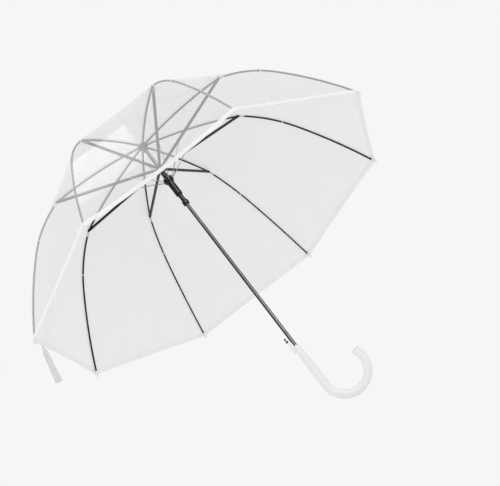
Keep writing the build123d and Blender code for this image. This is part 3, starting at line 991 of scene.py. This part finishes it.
@dataclass
class RibFittings:
    """White guards either side of each rib joint, film ties, and rivet heads."""

    line: RibLine
    upper_guard: tuple[float, float] = (0.0150, 0.0080)   # from the joint, far and near end
    lower_guard: tuple[float, float] = (0.00364, 0.0150)  # the same, near end first
    guard_half: float = 0.0023
    guard_top: float = 0.0026
    saddle_half: float = 0.00207
    saddle_foot: float = 0.0009
    guard_keep: float = 0.66
    tie_at: float = 0.104
    tie_long: float = 0.0030
    tie: tuple[float, float, float] = (0.0021, 0.0028, -0.0023)   # half width, top, foot
    taper: float = 0.86
    squareness: float = 0.7
    rivet: tuple[float, float, float] = (0.0013, 0.0013, 0.00045)
    rivet_out: float = 0.0024

    def _sleeve(
        self, name: str, rib: int, section: Section, spans: Sequence[float],
        loop: Sequence[tuple[float, float]], body: str,
    ) -> bpy.types.Object:
        """A short sleeve along a rib.

        Args:
            name: the piece's name.
            rib: number of the rib.
            section: the rib's length that it sits on.
            spans: lengths along the rib's arc at which the sleeve has rings.
            loop: its cross-section, sideways and outward from the rib's centreline.
            body: the body that it rides on.

        Returns:
            The piece.
        """
        angle = azimuth(rib)
        arc = self.line.arcs[section]
        rings = []
        for n, along in enumerate(spans):
            shrink = self.taper if n in (0, len(spans) - 1) else 1.0
            base = on_plane(angle, arc.point(along))
            run = arc.heading(along)
            up = outward(angle) * -run[1] + Vector((0.0, 0.0, run[0]))
            mid = sum(v for _, v in loop) / len(loop)
            rings.append([
                base + sideways(angle) * (u * shrink) + up * (mid + (v - mid) * shrink)
                for u, v in loop
            ])
        surface = Surface()
        surface.grid(rings, closed=True)
        way = on_plane(angle, arc.point(spans[-1])) - on_plane(angle, arc.point(spans[0]))
        surface.cap(rings[0], -way)
        surface.cap(rings[-1], way)
        return surface.build(name, body, Slot.WHITE_PLASTIC, (CLEAR_GUARD,))

    def _oval(
        self, half: float, top: float, foot: float, count: int = 20,
    ) -> list[tuple[float, float]]:
        """Make a rounded loop.

        Args:
            half: half its width.
            top: its highest point, outward from the rib's centreline.
            foot: its lowest point.
            count: number of points.

        Returns:
            The points, sideways and outward.
        """
        middle, rise = (top + foot) / 2, (top - foot) / 2
        loop = []
        for k in range(count):
            turn = math.tau * k / count
            c, s = math.cos(turn), math.sin(turn)
            loop.append((
                half * math.copysign(abs(c) ** self.squareness, c),
                middle + rise * math.copysign(abs(s) ** self.squareness, s),
            ))
        return loop

    def build(self) -> None:
        """Make the guards, ties and rivet heads of every rib."""
        upper = self.line.arcs[Section.UPPER].length
        saddle = self._oval(self.saddle_half, self.guard_top, self.saddle_foot)
        sleeve = self._oval(self.guard_half, self.guard_top, -self.guard_top)
        tie = self._oval(*self.tie)
        far, near = self.upper_guard
        for rib in range(1, RIB_COUNT + 1):
            lower = f"rib_lower_{rib}"
            self._sleeve(f"guard_upper_{rib}", rib, Section.UPPER,
                         spread(upper - far, upper - near, 5), saddle, f"rib_upper_{rib}")
            guard = self._sleeve(f"guard_lower_{rib}", rib, Section.LOWER,
                                 spread(*self.lower_guard, 5), sleeve, lower)
            tuple(on_plane(azimuth(rib), self.line.joint))
            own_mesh(guard)
            self._sleeve(f"film_tie_{rib}", rib, Section.LOWER,
                         spread(self.tie_at, self.tie_at + self.tie_long, 4), tie, lower)
            self._rivets(rib)

    def _rivets(self, rib: int) -> None:
        """Make domed rivet heads on both cheeks of a stretcher's outer eye.

        Args:
            rib: number of the rib.
        """
        angle = azimuth(rib)
        spot = on_plane(angle, self.line.joint)
        side = sideways(angle)
        ends = [spot - side * self.rivet_out, spot + side * self.rivet_out]
        runs = [[end, end + Vector((0.0, 0.0, 0.0001))] for end in ends]
        faces = [[-side, -side], [side, side]]
        piece = path_object(f"rivets_{rib}", runs, faces)
        Repeats.run(piece, Repeats.marks(), {
            "Spacing": 1.0, "Size": self.rivet, "Finish": BLACK_STEEL.build(),
        })
        dress(piece, f"stretcher_{rib}", Slot.BLACK_STEEL)


# ------------------------------------------------------------------------ opening gear


@dataclass
class OpeningSpring:
    """The coil between runner and slider that drives the umbrella open."""

    radius: float = 0.0061
    wire: float = 0.0005
    turns: float = 11.0
    low: float = 0.4884
    high: float = 0.5589
    keep: float = 0.66

    def build(self) -> bpy.types.Object:
        """Wind the coil and let it ride on the runner.

        Returns:
            The piece.
        """
        piece = path_object("spring_coil", [[Vector(), Vector((0, 0, 0.001))]],
                            [[Vector((1, 0, 0)), Vector((1, 0, 0))]])
        Repeats.run(piece, Repeats.coil(), {
            "Turns": self.turns, "Radius": self.radius, "Wire": self.wire,
            "Height": self.high - self.low, "Place": (0.0, 0.0, self.low),
            "Finish": WIRE.build(),
        })
        dress(piece, "runner", Slot.WIRE)
        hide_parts("opening_spring")
        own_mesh(piece)
        return piece


@dataclass
class Handle:
    """The thin ring on the hooked handle where its end cap starts."""

    hook_x: float = 0.046
    hook_z: float = -0.050
    hook_radius: float = 0.046
    lean: float = math.radians(10.0)
    tail: float = 0.0145
    radius: float = 0.0090
    groove_back: float = 0.0030
    groove_deep: float = 0.000176
    groove_long: float = 0.000352
    around: int = 48

    def build(self) -> bpy.types.Object:
        """Make the ring.

        Returns:
            The piece.
        """
        turn = math.pi + self.lean
        centre = Vector((self.hook_x, 0.0, self.hook_z))
        arm = Vector((-math.cos(turn), 0.0, -math.sin(turn)))
        way = Vector((math.sin(turn), 0.0, -math.cos(turn)))
        base = centre + arm * self.hook_radius + way * (self.tail - self.groove_back)
        side = Vector((0.0, 1.0, 0.0))
        surface = Surface()
        rings = []
        for k in range(9):
            bend = math.tau * k / 8
            out = self.radius + self.groove_deep * math.cos(bend)
            slide = way * (self.groove_long * math.sin(bend))
            rings.append([
                base + slide + arm * (out * math.cos(t)) + side * (out * math.sin(t))
                for t in (math.tau * n / self.around for n in range(self.around))
            ])
        surface.grid(rings, closed=True)
        return surface.build("hook_cap_line", "frame", Slot.WHITE_PLASTIC, (SEAM,))


@dataclass
class CatchCap:
    """The dark cap over the free end of the release lever, set by the CAD catch."""

    outside: float = 0.0013
    half_x: float = 0.0019
    half_y: float = 0.0029
    below: float = 0.0005
    length: float = 0.0107
    waist: float = 0.0016
    waist_reach: float = 0.12
    waist_share: float = 0.4      # how much of the waist also narrows it along X
    edge: float = 0.0006          # radius at both ends
    squareness: float = 0.6
    rows: int = 20
    around: int = 28

    def build(self) -> bpy.types.Object:
        """Make the cap: two lobes with a waist between them, closed at both ends.

        Returns:
            The piece.
        """
        lowest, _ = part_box("catch")
        middle_x, low = lowest.x - self.outside, lowest.z - self.below
        loops = []
        for share in spread(0.0, 1.0, self.rows):
            short = max(self.edge - min(share, 1 - share) * self.length, 0.0)
            tuck = self.edge - math.sqrt(max(self.edge**2 - short**2, 0.0))
            tuck += self.waist * math.exp(-(((share - 0.5) / self.waist_reach) ** 2))
            loop = []
            for n in range(self.around):
                turn = math.tau * n / self.around
                c, s = (math.copysign(abs(x) ** self.squareness, x)
                        for x in (math.cos(turn), math.sin(turn)))
                loop.append(Vector((
                    middle_x + (self.half_x - tuck * self.waist_share) * c,
                    (self.half_y - tuck) * s,
                    low + self.length * share,
                )))
            loops.append(loop)
        surface = Surface()
        surface.grid(loops, closed=True)
        surface.cap(loops[0], Vector((0.0, 0.0, -1.0)))
        surface.cap(loops[-1], Vector((0.0, 0.0, 1.0)))
        return surface.build("catch_cap", "release_lever", Slot.BLACK_STEEL,
                             (BLACK_PLASTIC,))


# ----------------------------------------------------------------------- closing strap


@dataclass
class ClosingStrap:
    """The narrow vinyl strap that hangs from the rim, widening to a square end."""

    top: tuple[float, float, float] = (-0.4040, -0.1282, 0.3325)
    way: tuple[float, float, float] = (-0.225, 0.40, -0.888)
    width: float = 0.0150
    root_width: float = 0.0095
    length: float = 0.0800
    thick: float = 0.0005
    wave: float = 0.0012
    twist: float = 0.30           # share of the length over which it turns
    corner: float = 0.0022
    roll: float = 0.0006
    rows: int = 44
    end_rows: int = 2

    def _frame(self, share: float) -> tuple[Vector, Vector, Vector]:
        """Find how the strap lies; it turns below its root.

        Args:
            share: 0 at the root and 1 at the end.

        Returns:
            Unit directions along its length, across its width and out of its face.
        """
        way = Vector(self.way).normalized()
        ease = min(share / self.twist, 1.0)
        turn = ease * ease * (3 - 2 * ease)
        rim, hang = Vector((0.0, 1.0, 0.0)), Vector((1.0, 0.0, 0.0))
        rim = (rim - way * rim.dot(way)).normalized()
        hang = (hang - way * hang.dot(way)).normalized()
        wide = (rim * (1 - turn) + hang * turn).normalized()
        return way, wide, way.cross(wide).normalized()

    def _loops(self) -> list[list[Vector]]:
        """Make closed loops round the strap.

        Returns:
            The loops, from its root to its end.
        """
        loops = []
        for share in spread(0.0, 1.0, self.rows):
            way, wide, face = self._frame(share)
            along = self.length * share
            left = self.length - along
            half = (self.root_width + (self.width - self.root_width) * share) / 2
            if left < self.corner:
                half -= self.corner - math.sqrt(self.corner**2 - (self.corner - left) ** 2)
            bend = self.wave * math.sin(share * 5.2) * share**0.5
            base = Vector(self.top) + way * along + face * bend
            loop = []
            for side in (1, -1):
                for n in range(9):
                    u = (-1.0 + n / 4) * side
                    roll = self.roll * (1 - u * u)
                    loop.append(
                        base + wide * (u * half) + face * (side * self.thick / 2 + roll)
                    )
            loops.append(loop)
        return loops

    def build(self) -> bpy.types.Object:
        """Make the strap with its welded edges.

        Returns:
            The piece.
        """
        way = self._frame(1.0)[0]
        loops = self._loops()
        surface = Surface()
        edge = {0, 1, 8, 9, 10, 17}
        surface.grid([loop[::-1] for loop in loops],
                     lambda r, c: int(c in edge or r >= self.rows - self.end_rows), closed=True)
        surface.cap(loops[0], -way)
        surface.cap(loops[-1], way)
        piece = surface.build("strap_sheet", "closing_strap", Slot.STRAP_FILM,
                              (STRAP, STRAP_EDGE))
        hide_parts("closing_strap")
        self.length
        self.length * (self.width + self.root_width) / 2
        return piece


# ------------------------------------------------------------------------ studio, nodes


@dataclass
class Studio:
    """Camera, lights, world and floor."""

    target: tuple[float, float, float] = (0.0, 0.0, 0.332)
    away: tuple[float, float, float] = (0.0, -1.815, -0.811)
    right: tuple[float, float, float] = (0.793, 0.2485, -0.556)
    up: tuple[float, float, float] = (0.609, -0.3235, 0.724)
    lens: float = 67.0
    shift: tuple[float, float] = (0.064, 0.003)
    floor_z: float = -3.0
    floor_half: float = 12.0
    backdrop: float = 0.925
    ambient: float = 0.95

    def camera(self) -> None:
        """Place the camera."""
        data = bpy.data.cameras.new("camera")
        data.lens, data.sensor_width = self.lens, 36.0
        data.shift_x, data.shift_y = self.shift
        data.clip_start, data.clip_end = 0.05, 50.0
        eye = link(bpy.data.objects.new("camera", data))
        back = Vector(self.away).normalized()
        right = Vector(self.right)
        right = (right - back * right.dot(back)).normalized()
        up = back.cross(right)
        turn = Matrix((right, up, back)).transposed().to_4x4()
        eye.matrix_world = Matrix.Translation(Vector(self.target) + Vector(self.away)) @ turn
        bpy.context.scene.camera = eye

    def _light(self, name: str, spot: tuple[float, float, float], size: float,
               power: float) -> bpy.types.Object:
        """A square soft light.

        Args:
            name: the light's name.
            spot: its place from the target, along the camera's right, up and back.
            size: edge of its square.
            power: watts.

        Returns:
            The light.
        """
        data = bpy.data.lights.new(name, "AREA")
        data.shape, data.size, data.energy = "SQUARE", size, power
        lamp = link(bpy.data.objects.new(name, data))
        back = Vector(self.away).normalized()
        offset = Vector(self.right) * spot[0] + Vector(self.up) * spot[1] + back * spot[2]
        lamp.location = Vector(self.target) + offset
        lamp.rotation_euler = offset.to_track_quat("Z", "Y").to_euler()
        return lamp

    def _card(self, name: str, middle: tuple[float, float, float],
              aim: tuple[float, float, float], size: tuple[float, float],
              power: float) -> None:
        """A soft box that is only seen in glossy surfaces.

        Args:
            name: the light's name.
            middle: its centre.
            aim: the point that it faces.
            size: its width and height.
            power: watts.
        """
        data = bpy.data.lights.new(name, "AREA")
        data.shape, data.energy = "RECTANGLE", power
        data.size, data.size_y = size
        card = link(bpy.data.objects.new(name, data))
        card.location = middle
        card.rotation_euler = (Vector(middle) - Vector(aim)).to_track_quat("Z", "Y").to_euler()
        card.visible_diffuse = False
        card.visible_camera = False

    def lights(self) -> None:
        """A weak key over the left shoulder, and two soft boxes that give highlights."""
        self._light("key", (-1.3, 1.6, 1.6), 1.4, 2.5)
        self._card("strip", (0.95, -1.56, 1.10), (0.0, 0.0, 0.25), (0.42, 1.7), 84.0)
        self._card("window", (-0.15, -0.38, 2.20), (-0.15, -0.38, 0.50), (0.30, 0.64), 1.7)

    def world(self) -> None:
        """A pale surround: bright to look at, softer as light."""
        world = bpy.data.worlds.new("pale_studio")
        bpy.context.scene.world = world
        world.use_nodes = True
        tree = world.node_tree
        sky = tree.nodes["Background"]
        sky.inputs["Color"].default_value = (1.0, 1.0, 1.0, 1.0)
        sky.inputs["Strength"].default_value = self.ambient
        seen = tree.nodes.new("ShaderNodeBackground")
        seen.inputs["Color"].default_value = (0.995, 1.0, 0.99, 1.0)
        seen.inputs["Strength"].default_value = self.backdrop
        ray, mix = tree.nodes.new("ShaderNodeLightPath"), tree.nodes.new("ShaderNodeMixShader")
        tree.links.new(ray.outputs["Is Camera Ray"], mix.inputs["Fac"])
        tree.links.new(sky.outputs["Background"], mix.inputs[1])
        tree.links.new(seen.outputs["Background"], mix.inputs[2])
        tree.links.new(mix.outputs["Shader"], tree.nodes["World Output"].inputs["Surface"])

    def floor(self) -> None:
        """A plain pale floor below the umbrella."""
        half = self.floor_half
        corners = [(-half, -half), (half, -half), (half, half), (-half, half)]
        mesh = bpy.data.meshes.new("floor")
        mesh.from_pydata([(x, y, self.floor_z) for x, y in corners], [], [(0, 1, 2, 3)])
        mesh.materials.append(FLOOR.build())
        link(bpy.data.objects.new("floor", mesh))

    def build(self) -> None:
        """Make the whole studio."""
        bpy.context.scene.view_settings.view_transform = "Standard"
        self.camera()
        self.lights()
        self.world()
        self.floor()


@dataclass
class Hardware:
    """The CAD nodes that stay as they are and only take their finishes."""

    nodes: dict[str, bpy.types.Object]

    def build(self) -> int:
        """Dress every CAD node by its record slot.

        Returns:
            How many were dressed.
        """
        dressed = 0
        for name, node in self.nodes.items():
            if node.type != "MESH":
                continue
            slot = self._slot_of(name)
            material = NODE_FINISH[slot].build()
            if not node.data.materials:
                node.data.materials.append(material)
            for entry in node.material_slots:
                entry.material = material
            dressed += 1
        return dressed

    @staticmethod
    def _slot_of(name: str) -> Slot:
        """Find the material slot of a CAD node.

        Args:
            name: the node's name.

        Returns:
            Its slot.
        """
        rules = (
            ("canopy", Slot.FILM), ("closing_strap", Slot.STRAP_FILM),
            ("rib_tip", Slot.WHITE_PLASTIC), ("rib_", Slot.BLACK_STEEL),
            ("stretcher", Slot.BLACK_STEEL), ("link", Slot.WIRE),
            ("opening_spring", Slot.WIRE), ("shaft", Slot.DARK_TUBE),
            ("top_notch", Slot.BLACK_PLASTIC), ("crown_cap", Slot.WHITE_PLASTIC),
            ("ferrule", Slot.WHITE_PLASTIC), ("runner", Slot.BLACK_PLASTIC),
            ("slider", Slot.BLACK_PLASTIC), ("handle", Slot.WHITE_PLASTIC),
            ("release_lever", Slot.WHITE_PLASTIC), ("catch", Slot.BLACK_STEEL),
        )
        for start, slot in rules:
            if name.startswith(start):
                return slot
        return Slot.BLACK_PLASTIC


def main() -> None:
    """Build the umbrella piece by piece and report each."""
    logging.basicConfig(level=logging.INFO, format="%(name)s: %(message)s")
    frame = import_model()
    studio = Studio()
    studio.build()
    LOG.info("studio ready")
    count = Hardware(frame["nodes"]).build()
    LOG.info("%d CAD nodes dressed", count)
    line = RibLine()
    canopy = Canopy(line)
    canopy.build()
    LOG.info("canopy: %d film pieces", len(canopy.pieces))
    RibFittings(line).build()
    LOG.info("guards, ties and rivets ready")
    OpeningSpring().build()
    LOG.info("opening spring wound")
    Handle().build()
    LOG.info("handle cap line ready")
    CatchCap().build()
    LOG.info("catch cap ready")
    ClosingStrap().build()
    LOG.info("closing strap ready")


if __name__ == "__main__":
    main()
